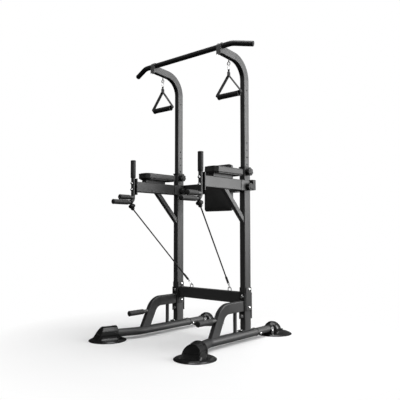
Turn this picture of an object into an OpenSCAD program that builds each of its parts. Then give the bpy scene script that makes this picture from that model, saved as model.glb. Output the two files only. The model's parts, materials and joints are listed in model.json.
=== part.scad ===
// Power tower with telescoping uprights, dip arms, backrest and resistance ropes.
// X is lateral, the machine faces -Y, Z is up and the floor is z = 0.
// Every sub-part is built with y = 0 between the uprights, then centred over the feet.

/* [Uprights] */
// Distance between the centre lines of the two uprights
upright_spacing = 560; // [520:10:620]
// Height of the top of the lower uprights
lower_top = 1042; // [1036:2:1050]
// Width of a lower upright, side to side
lower_w = 40; // [38:1:44]
// Depth of a lower upright, front to back
lower_d = 60; // [58:1:64]
// Width of an upper tube, side to side
upper_w = 34; // [32:1:34]
// Depth of an upper tube, front to back
upper_d = 48; // [46:1:50]
// Wall of every rectangular tube
wall = 2; // [1.5:0.1:2.2]
// Distance between two height-setting holes
hole_pitch = 45; // [40:1:46]
// Number of holes below the locking pin
holes_below = 14; // [12:1:14]
// Number of holes above the locking pin
holes_above = 4; // [3:1:5]

/* [Pull-up bar] */
// Height of the pull-up bar's centre line
bar_z = 1742; // [1722:2:1782]
// Distance of the bar's centre line in front of the uprights
bar_y = -233; // [-240:1:-228]
// Diameter of the pull-up bar
bar_dia = 32; // [28:1:34]
// Distance from the middle of the bar to each bend
bar_straight = 365; // [330:1:380]
// Length of each swept-back end
bar_end = 127; // [90:1:150]

/* [Dip arms] */
// Height of the centre line of the dip arms
arm_z = 935; // [930:1:940]
// Height of a dip arm's tube
arm_h = 65; // [56:1:66]
// How far the front of an arm stands in front of the uprights' centre
arm_reach = 393; // [373:2:413]
// Length of a forearm pad
pad_len = 268; // [230:2:270]
// Width of a forearm pad
pad_w = 108; // [96:2:112]
// Thickness of a forearm pad
pad_t = 38; // [30:1:40]

/* [Base] */
// Width of the flat-sided oval base rail
rail_w = 60; // [56:1:64]
// Height of the flat-sided oval base rail
rail_h = 45; // [42:1:48]
// Diameter of a suction foot
foot_dia = 226; // [190:2:240]

/* [Backrest] */
// Width of the backrest pad
back_w = 230; // [200:2:234]
// Height of the backrest pad
back_h = 306; // [260:2:340]

/* [Hidden] */

black = "#202224";
satin = "#3a3c3e";
rubber = "#17181a";
vinyl = "#2b2c2e";
chrome = "#d8dadd";

half = upright_spacing / 2;
lower_front = -lower_d / 2;
lower_rear = lower_d / 2;
corner = 5;

// Base rails and feet
rail_z = 40;
rail_top = rail_z + rail_h / 2;
rail_rear = 93;
splay = 21.77;
rail_bend_y = -330;
rail_bend_r = 120;
rail_after_bend = 178;
rail_in_shoe = 14;
extension_front = 20;
extension_rear = 318;
extension_gap = 1;
shoe_r = 50;
shoe_base = 12;
rear_foot_y = 306;
rear_neck_start = 229;
rear_neck_end = 262;
rear_neck_t = 5;
foot_plate_t = 5;
foot_plate_len = 116;
upright_base = rail_top + foot_plate_t;
front_foot_x = half + rail_bend_r * (1 - cos(splay)) + rail_after_bend * sin(splay);
front_foot_y = rail_bend_y - rail_bend_r * sin(splay) - rail_after_bend * cos(splay);

// Arch between the rail and the upright
arch_w = 30;
arch_h = 62;
arch_z = 210;
arch_r = 85;
arch_angle = 62.9443;
arch_bend_y = -173;
flange_t = 6;
flange_low = 132;
flange_high = 286;
flange_bolt_z = [151, 268];

// Cross beam
beam_z = 255;
beam_h = 70;
beam_d = 30;
beam_plate_t = 5;
beam_plate_low = 181;
beam_plate_high = 319;
beam_bolt_y = 6;
beam_bolt_z = [198, 306];
eye_x = 159;
eye_r = 12;
eye_wire = 2.5;
eye_leg = 10;

// Height setting
pin_z = 1018;
lower_pin_z = pin_z - 2 * hole_pitch;
pin_r = 4;
pin_bore = 4.06;
hole_r = 4.5;
boss_r = 9;
boss_len = 6;
knob_r = 23;
knob_t = 15;
knob_gap = 5.6;
tube_low = pin_z - holes_below * hole_pitch - 15;

// Sweep of the bar's ends, and how far that sweep is tipped below the horizontal
bar_sweep = 21;
bar_roll = -28;

// Arc of the upper tube
arc_r = 126;
arc_angle = 85.4187;
arc_z = bar_z - 157;
bar_seat_r = bar_dia / 2 + 0.05;
saddle_t = 4;
saddle_drop = 58;
tube_end_y = bar_y - bar_seat_r;
lone_hole_z = bar_z - 217;

// Dip arms
arm_w = 40;
cheek_t = 2.5;
cheek_rear = 26;
end_plate_w = 44;
end_plate_h = 102;
end_plate_t = 6;
dip_r = 12.5;
dip_bend = 30;
dip_low_z = 836;
dip_high_z = 867;
dip_y = -arm_reach - end_plate_t - dip_r;
dip_grip_r = 15;
forearm_top = 1101;
pad_base = 992;
pad_plate_t = 5;
pad_front = -336;
pad_chamfer = 20;
pad_rib_w = 36;
pad_rib_front = -320;
pad_rib_len = 172;
brace_w = 28;
brace_h = 31;
brace_top_y = -200;
brace_low_z = 729;

// Backrest yoke
yoke_d = 28;
yoke_h = 63;
yoke_z = 940.5;
yoke_half = 316;
yoke_leg = 152;
yoke_back = 136;
back_front = 72;
back_t = 30;
board_t = 6;

// Hanging handles
hang_y = -156;
hang_eye_z = bar_z - 83;
hang_ring_r = 10;
hang_wire = 2.5;
hook_wire = 2;
hook_r = 7;
hook_len = 20;
strap_w = 24;
strap_eye_w = 6.4;
strap_eye_r = 3.6;
strap_t = 3;
strap_half = 98;
grip_z = bar_z - 275;

// Ropes
rope_r = 4;
rope_sleeve_r = 7;
loop_angle = 67.5;
loop_drop = 45;
link_wire = 1.8;
link_r = 6;
link_len = 24;

// ---------- shared shapes ----------

// A rectangle with rounded corners, as one outline.
module rounded_rect(w, d, r) {
    polygon([
        for (k = [0:3])
            for (j = [0:4])
                let (a = 90 * k + 22.5 * j)
                    [
                        (k == 0 || k == 3 ? 1 : -1) * (w / 2 - r) + r * cos(a),
                        (k < 2 ? 1 : -1) * (d / 2 - r) + r * sin(a)
                    ]
    ]);
}

module rect_ring(w, d, t = wall, r = corner) {
    difference() {
        rounded_rect(w, d, r);
        rounded_rect(w - 2 * t, d - 2 * t, r - t);
    }
}

// An oval with flat top and bottom and round sides.
module oval(w, h) {
    polygon([
        for (side = [1, -1])
            for (j = [0:12])
                let (a = -90 + 15 * j)
                    [side * ((w - h) / 2 + h / 2 * cos(a)), side * h / 2 * sin(a)]
    ]);
}

module round_ring(r_out, r_in) {
    difference() {
        circle(r_out, $fn = 48);
        circle(r_in, $fn = 48);
    }
}

// Turns a shape made along +Z so that it runs along +Y, with its local X kept.
module along_y() rotate([-90, 0, 0]) children();

// Turns a shape made along +Z so that it runs along +X.
module along_x() rotate([0, 90, 0]) children();

// Turns a bend made in the XY plane so that it lies in the YZ plane.
module bend_in_yz() rotate([90, 0, 90]) children();

// A tube that bends about the Z axis and then runs straight on; the child is its section.
module bent_tube(r, angle, len) {
    difference() {
        rotate_extrude(angle = angle + 3, $fn = 180) translate([r, 0]) children();
        rotate([0, 0, angle]) translate([0, 0, -r]) cube(2 * r);
    }
    rotate([0, 0, angle]) translate([r, 0, 0]) along_y() linear_extrude(len) children();
}

// Moves the machine, built round its uprights, so that y = 0 is midway between its feet.
module centred() translate([0, -(rear_foot_y + front_foot_y) / 2, 0]) children();

module rod(len, r) cylinder(h = len, r = r, $fn = 48);

// Domed bolt head or cap nut standing on z = 0.
module dome_head(r = 9, h = 7) {
    rotate_extrude($fn = 40)
        polygon(concat(
            [[0, 0], [r, 0], [r, h * 0.35]],
            [for (a = [20:20:80]) [r * cos(a), h * (0.35 + 0.65 * sin(a))]],
            [[0, h]]
        ));
}

// Bolt along +X with a domed head at each end.
module bolt_x(x_from, x_to, r = 5, head_r = 9) {
    translate([x_from, 0, 0]) along_x() rod(x_to - x_from, r);
    translate([x_to, 0, 0]) along_x() dome_head(head_r);
    translate([x_from, 0, 0]) rotate([0, -90, 0]) dome_head(head_r);
}

module on_side(s) {
    if (s < 0) mirror([1, 0, 0]) children();
    else children();
}

module on_both() {
    children();
    mirror([1, 0, 0]) children();
}

// ---------- base ----------

module rail_ring() {
    difference() {
        oval(rail_w, rail_h);
        oval(rail_w - 2 * wall, rail_h - 2 * wall);
    }
}

module base_rails() {
    color(satin) on_both() difference() {
        union() {
            translate([half, rail_bend_y, rail_z]) along_y()
                linear_extrude(rail_rear - rail_bend_y) rail_ring();
            translate([half + rail_bend_r, rail_bend_y, rail_z]) rotate([0, 0, 180])
                bent_tube(rail_bend_r, splay, rail_after_bend - rail_in_shoe) rail_ring();
        }
        for (y = [-1, 1])
            translate([half, y * foot_bolt_y(), rail_z]) cylinder(h = rail_h, r = 5.2, $fn = 40);
    }
}

function foot_bolt_y() = lower_d / 2 + 17;

module rail_extensions() {
    color(satin) on_both() difference() {
        translate([half, extension_front, rail_z]) along_y()
            linear_extrude(extension_rear - extension_front) difference() {
                oval(extension_w(), extension_h());
                oval(extension_w() - 2 * wall, extension_h() - 2 * wall);
            }
        translate([half, foot_bolt_y(), rail_z]) cylinder(h = rail_h, r = 5.2, $fn = 40);
        for (y = extension_bolt_y())
            translate([half - rail_w, y, extension_bolt_z()]) along_x() rod(2 * rail_w, 4.2);
    }
}

function extension_w() = rail_w - 2 * wall - 2 * extension_gap;
function extension_h() = rail_h - 2 * wall - 2 * extension_gap;
function extension_bolt_y() = [119, 240];
function extension_bolt_z() = rail_z - 9;

module extension_bolts() {
    grip = extension_w() / 2;
    color(chrome) on_both() {
        translate([half, extension_bolt_y()[0], extension_bolt_z()]) bolt_x(-grip, grip, 4, 8);
        translate([half, extension_bolt_y()[1], extension_bolt_z()])
            bolt_x(-grip - rear_neck_t, grip + rear_neck_t, 4, 8);
    }
}

module rail_end_rings() {
    color(rubber) on_both()
        translate([half, rail_rear + 0.1, rail_z]) along_y()
            linear_extrude(5) difference() {
                oval(rail_w + 3, rail_h + 3);
                oval(extension_w() + 0.4, extension_h() + 0.4);
            }
}

// The D outline of a shoe, seen along the rail.
module shoe_outline(r, top) {
    intersection() {
        union() {
            translate([0, top - shoe_r]) circle(r, $fn = 72);
            translate([-r, 0]) square([2 * r, top - shoe_r]);
        }
        translate([-r, shoe_base]) square([2 * r, top]);
    }
}

// A shoe's body points along -Y from its foot's centre; its outer face slants outwards.
module shoe_body(inner, top, outer_top, outer_base) {
    slant = atan((outer_base - outer_top) / (top - shoe_base));
    difference() {
        translate([0, inner, 0]) rotate([90, 0, 0])
            linear_extrude(inner + outer_base + 20) shoe_outline(shoe_r, top);
        translate([-100, -outer_base, shoe_base]) rotate([-slant, 0, 0])
            translate([0, -100, -60]) cube([200, 100, 240]);
    }
}

module shoes_front() {
    inner = 55;
    top = 84;
    outer_top = 30;
    outer_base = 76;
    slant = atan((outer_base - outer_top) / (top - shoe_base));
    color(rubber) on_both()
        translate([front_foot_x, front_foot_y, 0]) rotate([0, 0, splay]) difference() {
            union() {
                shoe_body(inner, top, outer_top, outer_base);
                for (k = [0:2])
                    translate([0, inner - 2 - 9 * k, 0]) rotate([90, 0, 0])
                        linear_extrude(4) shoe_outline(shoe_r + 2, top);
            }
            translate([0, -outer_base, shoe_base]) rotate([-slant, 0, 0])
                translate([0, 1.6, 0]) rotate([90, 0, 0])
                    linear_extrude(30) translate([0, -6])
                        scale([1, 1.12]) shoe_outline(shoe_r - 5, top);
            translate([0, rail_in_shoe - 1, rail_z]) along_y()
                linear_extrude(inner + 10) oval(rail_w + 0.2, rail_h + 0.2);
        }
}

module shoes_rear() {
    w = extension_w();
    h = extension_h();
    color(rubber) on_both() difference() {
        union() {
            translate([half, rear_neck_start, rail_z]) along_y()
                linear_extrude(rear_neck_end - rear_neck_start)
                    oval(w + 2 * rear_neck_t, h + 2 * rear_neck_t);
            translate([half, rear_foot_y, 0]) rotate([0, 0, 180])
                shoe_body(rear_foot_y - rear_neck_end + 4, 79, 6, 66);
            translate([half, rear_foot_y - 20, 0]) rotate([90, 0, 0])
                linear_extrude(4) shoe_outline(shoe_r + 2, 79);
        }
        translate([half, rear_neck_start - 10, rail_z]) along_y()
            linear_extrude(extension_rear + 11 - rear_neck_start) oval(w + 0.2, h + 0.2);
        translate([half - rail_w, extension_bolt_y()[1], extension_bolt_z()]) along_x()
            rod(2 * rail_w, 4.2);
    }
}

module suction_feet() {
    r = foot_dia / 2;
    color(rubber) on_both()
        for (at = [[front_foot_x, front_foot_y], [half, rear_foot_y]])
            translate([at.x, at.y, 0]) rotate_extrude($fn = 120)
                polygon([
                    [0, 4], [r - 16, 0], [r, 0], [r, 3], [r - 9, 8],
                    [r - 24, shoe_base], [0, shoe_base]
                ]);
}

// ---------- arch and push-up bar ----------

module arch_section(inset) {
    rounded_rect(arch_h - 2 * inset, arch_w - 2 * inset, corner - inset);
}

module arch_run(inset, extra) {
    translate([half, arch_bend_y, arch_z]) along_y() rotate([0, 0, 90])
        linear_extrude(lower_front - flange_t - arch_bend_y + extra) arch_section(inset);
    translate([half, arch_bend_y, arch_z - arch_r]) bend_in_yz() rotate([0, 0, 90])
        bent_tube(arch_r, arch_angle, 150) arch_section(inset);
}

module arches() {
    color(satin) on_both() difference() {
        arch_run(0, 0);
        arch_run(wall, 1);
        translate([half - 50, -500, -150]) cube([100, 460, 150 + rail_top - 1.4]);
        translate([half, -500, rail_z]) along_y() linear_extrude(460)
            oval(rail_w + 0.12, rail_h + 0.12);
    }
}

module arch_posts() {
    color(satin) on_both()
        translate([half, -105, rail_top]) linear_extrude(arch_z - arch_h / 2 - rail_top)
            round_ring(11, 9);
}

function pushup_z() = 154;
function pushup_front() = -438;

module pushup_bars() {
    color(satin) on_both() difference() {
        translate([half, pushup_front() + 6, pushup_z()]) along_y()
            linear_extrude(160) round_ring(11, 9);
        arch_run(-0.06, 0);
        translate([half - 20, -285, pushup_z() - 40]) cube([40, 60, 80]);
    }
}

module pushup_grips() {
    color(rubber) on_both() difference() {
        translate([half, pushup_front(), pushup_z()]) along_y() union() {
            translate([0, 0, 5]) rod(112, 16);
            rod(5, 17);
        }
        translate([half, pushup_front() + 6, pushup_z()]) along_y() rod(160, 11.05);
    }
}

// ---------- uprights ----------

module foot_plates() {
    color(black) on_both() difference() {
        translate([half - lower_w / 2, -foot_plate_len / 2, rail_top])
            cube([lower_w, foot_plate_len, foot_plate_t]);
        for (y = [-1, 1])
            translate([half, y * foot_bolt_y(), rail_top - 1])
                cylinder(h = foot_plate_t + 2, r = 5.2, $fn = 40);
    }
}

module foot_bolts() {
    color(chrome) on_both()
        for (y = [-1, 1])
            translate([half, y * foot_bolt_y(), rail_top + foot_plate_t]) {
                dome_head(9, 6);
                translate([0, 0, -20]) rod(20, 5);
            }
}

module lower_upright(s) {
    color(satin) translate([s * half, 0, 0]) difference() {
        union() {
            translate([0, 0, upright_base])
                linear_extrude(lower_top - upright_base) rect_ring(lower_w, lower_d);
            for (z = [pin_z, lower_pin_z])
                translate([lower_w / 2, 0, z]) along_x() rod(boss_len, boss_r);
        }
        for (z = [pin_z, lower_pin_z])
            translate([0, 0, z]) along_x() rod(lower_w, pin_bore);
        for (z = beam_bolt_z)
            translate([-lower_w, beam_bolt_y, z]) along_x() rod(2 * lower_w, 5.2);
        for (z = flange_bolt_z)
            translate([0, -lower_d, z]) along_y() rod(2 * lower_d, 5.2);
    }
}

module upright_collars() {
    color(rubber) for (s = [-1, 1])
        translate([s * half, 0, lower_top]) difference() {
            union() {
                linear_extrude(8) rounded_rect(lower_w + 6, lower_d + 6, corner);
                translate([0, 0, -10])
                    linear_extrude(10)
                        rounded_rect(lower_w - 2 * wall - 0.1, lower_d - 2 * wall - 0.1, 3);
            }
            translate([0, 0, -11])
                linear_extrude(20) rounded_rect(upper_w + 0.4, upper_d + 0.4, corner);
        }
}

module arch_flanges() {
    color(black) on_both() translate([half, 0, 0]) difference() {
        for (y = [lower_front - flange_t, lower_rear])
            translate([-lower_w / 2 - 2, y, flange_low])
                cube([lower_w + 4, flange_t, flange_high - flange_low]);
        for (z = flange_bolt_z)
            translate([0, -lower_d, z]) along_y() rod(2 * lower_d, 5.2);
    }
}

module flange_bolts() {
    color(chrome) on_both()
        for (z = flange_bolt_z)
            translate([half, lower_front - flange_t, z]) {
                along_y() rod(lower_d + 2 * flange_t, 5);
                rotate([90, 0, 0]) dome_head(9, 8);
                translate([0, lower_d + 2 * flange_t, 0]) along_y() dome_head(9, 6);
            }
}

module cross_beam() {
    len = upright_spacing - lower_w - 2 * beam_plate_t;
    color(satin) translate([-len / 2, 0, beam_z]) along_x()
        linear_extrude(len) rect_ring(beam_h, beam_d);
}

module beam_plates() {
    color(black) on_both() difference() {
        for (x = [half - lower_w / 2 - beam_plate_t, half + lower_w / 2])
            translate([x, -26, beam_plate_low])
                cube([beam_plate_t, 52, beam_plate_high - beam_plate_low]);
        for (z = beam_bolt_z)
            translate([half - lower_w, beam_bolt_y, z]) along_x() rod(2 * lower_w, 5.2);
    }
}

module beam_bolts() {
    grip = lower_w / 2 + beam_plate_t;
    color(chrome) on_both()
        for (z = beam_bolt_z)
            translate([half, beam_bolt_y, z]) bolt_x(-grip, grip);
}

module beam_eyes() {
    color(satin) on_both() translate([eye_x, 0, beam_z + beam_h / 2]) {
        for (s = [-1, 1])
            translate([s * eye_r, 0, 0]) rod(eye_leg, eye_wire);
        translate([0, 0, eye_leg]) rotate([90, 0, 0])
            rotate_extrude(angle = 180, $fn = 64) translate([eye_r, 0]) circle(eye_wire, $fn = 32);
    }
}

// ---------- dip arms ----------

module dip_arms() {
    color(satin) for (s = [-1, 1]) translate([s * half, 0, 0]) difference() {
        union() {
            translate([0, -arm_reach, arm_z]) along_y()
                linear_extrude(arm_reach + lower_front) rect_ring(arm_w, arm_h);
            for (x = [-arm_w / 2 - cheek_t, arm_w / 2])
                translate([x, lower_front - 34, arm_z - arm_h / 2 + 2])
                    cube([cheek_t, cheek_rear - lower_front + 34, arm_h - 4]);
        }
        translate([arm_w / 2 - 1, 0, lower_pin_z]) along_x() rod(10, boss_r + 0.5);
        for (z = end_bolt_z())
            translate([0, -arm_reach - 1, z]) along_y() rod(12, 4.2);
    }
}

function end_bolt_z() = [arm_z - 19, arm_z + 21];

module arm_braces() {
    rise = arm_z - arm_h / 2 - brace_low_z;
    run = lower_front - brace_top_y;
    color(satin) on_both() difference() {
        translate([half, lower_front, brace_low_z])
            rotate([atan(run / rise), 0, 0])
                translate([0, 0, -60]) linear_extrude(norm([rise, run]) + 120)
                    rect_ring(brace_w, brace_h);
        translate([half - 50, -400, arm_z - arm_h / 2]) cube([100, 500, 200]);
        translate([half - 50, lower_front, 500]) cube([100, 200, 700]);
    }
}

module arm_end_plates() {
    color(black) on_both() difference() {
        translate([half - end_plate_w / 2, -arm_reach - end_plate_t, arm_z - end_plate_h / 2])
            cube([end_plate_w, end_plate_t, end_plate_h]);
        for (z = end_bolt_z())
            translate([half, -arm_reach - 20, z]) along_y() rod(40, 4.2);
    }
}

function low_bar_front() = -573;
function high_bar_front() = -522;

// Upright tube that bends forwards into the lower dip bar, with the upper bar welded to it.
module dip_bars() {
    bend_z = dip_low_z + dip_bend;
    color(satin) on_both() translate([half, 0, 0]) difference() {
        union() {
            translate([0, dip_y, bend_z]) rod(forearm_top - 6 - bend_z, dip_r);
            translate([0, dip_y - dip_bend, bend_z]) bend_in_yz() rotate([0, 0, -90])
                rotate_extrude(angle = 90, $fn = 120)
                    translate([dip_bend, 0]) circle(dip_r, $fn = 48);
            translate([0, low_bar_front() + 6, dip_low_z]) along_y()
                rod(dip_y - dip_bend - low_bar_front() - 6, dip_r);
            translate([0, high_bar_front() + 6, dip_high_z]) along_y()
                rod(dip_y - high_bar_front() - 6, dip_r);
        }
        for (z = end_bolt_z())
            translate([0, dip_y - 30, z]) along_y() rod(60, 4.2);
    }
}

module dip_bar_bolts() {
    color(chrome) on_both()
        for (z = end_bolt_z())
            translate([half, dip_y - dip_r - 0.4, z]) {
                rotate([90, 0, 0]) dome_head(8, 6);
                along_y() rod(2 * dip_r + end_plate_t + 8, 4);
            }
}

module sleeve(len, r_out, r_in, cap) {
    difference() {
        union() {
            rod(len, r_out);
            rod(cap, r_out + 0.8);
        }
        translate([0, 0, cap + 1]) rod(len, r_in);
    }
}

module forearm_grips() {
    color(rubber) on_both()
        translate([half, dip_y, forearm_top]) rotate([180, 0, 0]) sleeve(112, 16, dip_r + 0.05, 5);
}

module dip_grips() {
    color(rubber) on_both() {
        translate([half, low_bar_front(), dip_low_z]) along_y()
            sleeve(120, dip_grip_r, dip_r + 0.05, 5);
        translate([half, high_bar_front(), dip_high_z]) along_y()
            sleeve(82, dip_grip_r, dip_r + 0.05, 5);
    }
}

module pad_outline(inset) {
    w = pad_w / 2 - inset;
    f = pad_front + inset;
    b = pad_front + pad_len - inset;
    c = pad_chamfer;
    polygon([
        [-w, f + c], [-w + c, f], [w - c, f], [w, f + c],
        [w, b - c], [w - c, b], [-w + c, b], [-w, b - c]
    ]);
}

module arm_pads() {
    color(vinyl) for (s = [-1, 1]) translate([s * half, 0, pad_base]) linear_extrude(pad_t) pad_outline(0);
}

module arm_pad_plates() {
    arm_top = arm_z + arm_h / 2;
    color(black) on_both() translate([half, 0, 0]) {
        translate([0, 0, pad_base - pad_plate_t]) linear_extrude(pad_plate_t) pad_outline(8);
        translate([-pad_rib_w / 2, pad_rib_front, arm_top])
            cube([pad_rib_w, pad_rib_len, pad_base - pad_plate_t - arm_top]);
    }
}

// ---------- backrest ----------

module yoke_plan(t) {
    for (s = [-1, 1])
        scale([s, 1]) {
            translate([yoke_leg - yoke_d + t, lower_rear + t])
                square([yoke_half - yoke_leg + yoke_d, yoke_d - 2 * t]);
            translate([yoke_leg - yoke_d + t, lower_rear + t])
                square([yoke_d - 2 * t, yoke_back - lower_rear - 2 * t]);
        }
    translate([-yoke_leg + t, yoke_back - yoke_d + t])
        square([2 * yoke_leg - 2 * t, yoke_d - 2 * t]);
}

module yoke_cut() {
    translate([-yoke_half, 0]) square([2 * yoke_half, yoke_back + 10]);
}

function yoke_bolt_z() = [yoke_z - 16, yoke_z + 16];

module back_yoke() {
    color(satin) difference() {
        translate([0, 0, yoke_z - yoke_h / 2])
            linear_extrude(yoke_h) intersection() { yoke_plan(0); yoke_cut(); }
        translate([0, 0, yoke_z - yoke_h / 2 + wall])
            linear_extrude(yoke_h - 2 * wall) yoke_plan(wall);
        for (x = [-half, half])
            for (z = yoke_bolt_z())
                translate([x, lower_rear - 5, z]) along_y() rod(50, 4.2);
    }
}

module yoke_caps() {
    color(rubber) on_both()
        translate([yoke_half, lower_rear + yoke_d / 2, yoke_z]) along_x()
            linear_extrude(4) rounded_rect(yoke_h, yoke_d, 5);
}

module yoke_bolts() {
    color(chrome) for (x = [-half, half])
        for (z = yoke_bolt_z())
            translate([x, lower_rear + yoke_d, z]) {
                along_y() dome_head(8, 6);
                rotate([90, 0, 0]) rod(yoke_d, 4);
            }
}

module backrest_pad() {
    color(vinyl) translate([0, back_front + back_t, yoke_z]) rotate([90, 0, 0])
        linear_extrude(back_t) rounded_rect(back_w, back_h, 18);
}

module backrest_board() {
    color(black) translate([0, back_front + back_t + board_t, yoke_z]) rotate([90, 0, 0])
        linear_extrude(board_t) rounded_rect(back_w - 20, back_h - 20, 12);
}

// ---------- upper frame ----------

module upper_tube(s) {
    color(satin) translate([s * half, 0, 0]) difference() {
        union() {
            translate([0, 0, tube_low]) linear_extrude(arc_z - tube_low)
                rect_ring(upper_w, upper_d);
            translate([0, -arc_r, arc_z]) bend_in_yz()
                bent_tube(arc_r, arc_angle, 150) rect_ring(upper_d, upper_w);
        }
        translate([-50, tube_end_y - 200, bar_z - 200]) cube([100, 200, 400]);
        translate([-50, bar_y, bar_z]) along_x() rod(100, bar_seat_r);
        translate([-50, tube_end_y - 1, bar_z]) cube([100, bar_seat_r + 1, 20]);
        for (k = [-holes_below:holes_above])
            translate([-upper_w, 0, pin_z + k * hole_pitch]) along_x() rod(2 * upper_w, hole_r);
        translate([-upper_w, 0, lone_hole_z]) along_x() rod(2 * upper_w, 4);
    }
}

module tube_guides() {
    color(rubber) for (s = [-1, 1])
        translate([s * half, 0, tube_low]) {
            translate([0, 0, -6]) linear_extrude(6)
                rounded_rect(lower_w - 2 * wall - 0.8, lower_d - 2 * wall - 0.8, 3);
            linear_extrude(12)
                rounded_rect(upper_w - 2 * wall - 0.1, upper_d - 2 * wall - 0.1, 3.4);
        }
}

// The frame at a bend of the bar; its X = 0 plane halves the angle between the two runs.
module at_bar_bend() {
    translate([bar_straight, bar_y, bar_z]) rotate([bar_roll, 0, 0])
        rotate([0, 0, bar_sweep / 2]) children();
}

module bar_run(len) {
    r = bar_dia / 2;
    difference() {
        rotate([0, 0, -bar_sweep / 2]) translate([-len, 0, 0]) along_x()
            linear_extrude(len + bar_dia) round_ring(r, r - wall);
        translate([0, -bar_dia, -bar_dia]) cube(2 * bar_dia);
    }
}

module pull_up_bar() {
    color(satin) difference() {
        on_both() at_bar_bend() {
            bar_run(bar_straight);
            mirror([1, 0, 0]) bar_run(bar_end);
        }
        for (s = [-1, 1])
            for (x = [-11, 11])
                translate([s * half + x, bar_y, bar_z]) rod(40, 3.05);
    }
}

module bar_end_caps() {
    r = bar_dia / 2;
    color(rubber) on_both() at_bar_bend() rotate([0, 0, bar_sweep / 2])
        translate([bar_end, 0, 0]) along_x() {
            cylinder(h = 4, r1 = r + 0.5, r2 = r - 1.5, $fn = 48);
            translate([0, 0, -14]) rod(14, r - wall - 0.05);
        }
}

// Strap over the bar: a long leg down the tube's end, and a short lip behind the bar.
module saddle_profile(r_in, r_out) {
    difference() {
        union() {
            circle(r_out, $fn = 72);
            translate([-r_out, -saddle_drop]) square([2 * r_out, saddle_drop]);
        }
        circle(r_in, $fn = 72);
        translate([-r_in, -saddle_drop - 1]) square([2 * r_in, saddle_drop + 1]);
        translate([0, -saddle_drop - 1]) square([r_out + 1, saddle_drop + 3]);
    }
}

module bar_saddles() {
    color("#8a8c8e") on_both() translate([half, bar_y, bar_z]) difference() {
        translate([-upper_w / 2, 0, 0]) bend_in_yz() linear_extrude(upper_w)
            saddle_profile(bar_seat_r, bar_seat_r + saddle_t);
        for (x = [-11, 11]) translate([x, 0, 0]) rod(40, 3.05);
        for (s = [-1, 1])
            translate([s * upper_w / 2, 0, 8 - saddle_drop]) rotate([0, s * 45, 0])
                translate([-8, -40, -30]) cube([16, 80, 30]);
    }
}

module bar_screws() {
    color(chrome) on_both()
        for (x = [-11, 11])
            translate([half + x, bar_y, bar_z + bar_seat_r + saddle_t]) {
                dome_head(5, 3.5);
                translate([0, 0, -10]) rod(10, 3);
            }
}

module bar_eyes() {
    under = tube_underside(hang_y);
    color(satin) on_both() translate([half, hang_y, hang_eye_z]) {
        rotate([90, 0, 0])
            rotate_extrude($fn = 64) translate([hang_ring_r, 0]) circle(hang_wire, $fn = 32);
        translate([0, 0, hang_ring_r]) rod(under - hang_eye_z - hang_ring_r - 0.65, 3);
    }
}

// Height of the underside of the upper tube's end at a given y.
function tube_underside(y) =
    let (rise = tan(90 - arc_angle))
        arc_z + arc_r * sin(arc_angle) - upper_d / 2 / cos(90 - arc_angle)
        + rise * (-arc_r + arc_r * cos(arc_angle) - y);

// ---------- locking knobs ----------

module knob(s, z) {
    head = lower_w / 2 + boss_len + knob_gap;
    tip = upper_w / 2 + 0.4;
    color(rubber) translate([s * half, 0, z]) {
        translate([tip, 0, 0]) along_x() rod(head - tip, pin_r);
        translate([head, 0, 0]) along_x() {
            linear_extrude(knob_t) difference() {
                circle(knob_r, $fn = 72);
                for (k = [0:6])
                    rotate([0, 0, 360 / 7 * k]) translate([knob_r + 4, 0]) circle(7, $fn = 40);
            }
            translate([0, 0, knob_t]) cylinder(h = 2, r1 = 15, r2 = 12, $fn = 48);
        }
    }
}

// ---------- hanging handles ----------

function hook_top() = hang_eye_z - hang_ring_r + hang_wire + hook_wire + 0.5;

// Oval link in the XZ plane, hanging from its top at z = 0, open along one side for a gate.
module open_link(r, len, wire) {
    rotate([90, 0, 0]) {
        translate([0, -r]) rotate_extrude(angle = 180, $fn = 64)
            translate([r, 0]) circle(wire, $fn = 32);
        translate([0, -r - len]) rotate([0, 0, 180]) rotate_extrude(angle = 180, $fn = 64)
            translate([r, 0]) circle(wire, $fn = 32);
    }
    translate([-r, 0, -r - len]) rod(len, wire);
}

module link_gate(r, len, wire) {
    translate([r, 0, -r - len + 0.9]) rod(len - 1.4, wire - 0.3);
}

module at_hook(s) {
    translate([s * half, hang_y, hook_top()]) rotate([0, 0, 90]) children();
}

module carabiner(s) {
    color(chrome) at_hook(s) open_link(hook_r, hook_len, hook_wire);
}

module gate(s) {
    color(chrome) at_hook(s) link_gate(hook_r, hook_len, hook_wire);
}

// Webbing loop: a narrow sewn eye at the hook and a triangle that runs through the grip.
module handle_strap(s) {
    top = hook_top() - 2 * hook_r - hook_len - grip_z;
    neck = 36;
    t = strap_t;
    side = t * norm([strap_half, top - neck]) / (top - neck);
    eye_out = strap_eye_r + t;
    color(rubber) translate([s * half, hang_y, grip_z]) rotate([90, 0, 0]) {
        translate([0, 0, -strap_eye_w / 2]) linear_extrude(strap_eye_w) difference() {
            union() {
                translate([0, top]) circle(eye_out, $fn = 40);
                translate([-eye_out, top - 12]) square([2 * eye_out, 12]);
            }
            translate([0, top]) circle(strap_eye_r, $fn = 40);
        }
        translate([0, 0, -strap_w / 2]) linear_extrude(strap_w) difference() {
            polygon([
                [-strap_half, -t / 2], [strap_half, -t / 2], [strap_half + side / 2, t / 2],
                [4.8, top - neck], [4.8, top - 8], [-4.8, top - 8], [-4.8, top - neck],
                [-strap_half - side / 2, t / 2]
            ]);
            polygon([
                [-strap_half + side * 1.2, t / 2], [strap_half - side * 1.2, t / 2],
                [0.4, top - neck - 8], [-0.4, top - neck - 8]
            ]);
        }
    }
}

module handle_grip(s) {
    half_len = 78;
    color(vinyl) translate([s * half - half_len, hang_y, grip_z]) along_x()
        linear_extrude(2 * half_len) round_ring(18, 12.8);
}

// ---------- resistance ropes ----------

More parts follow.
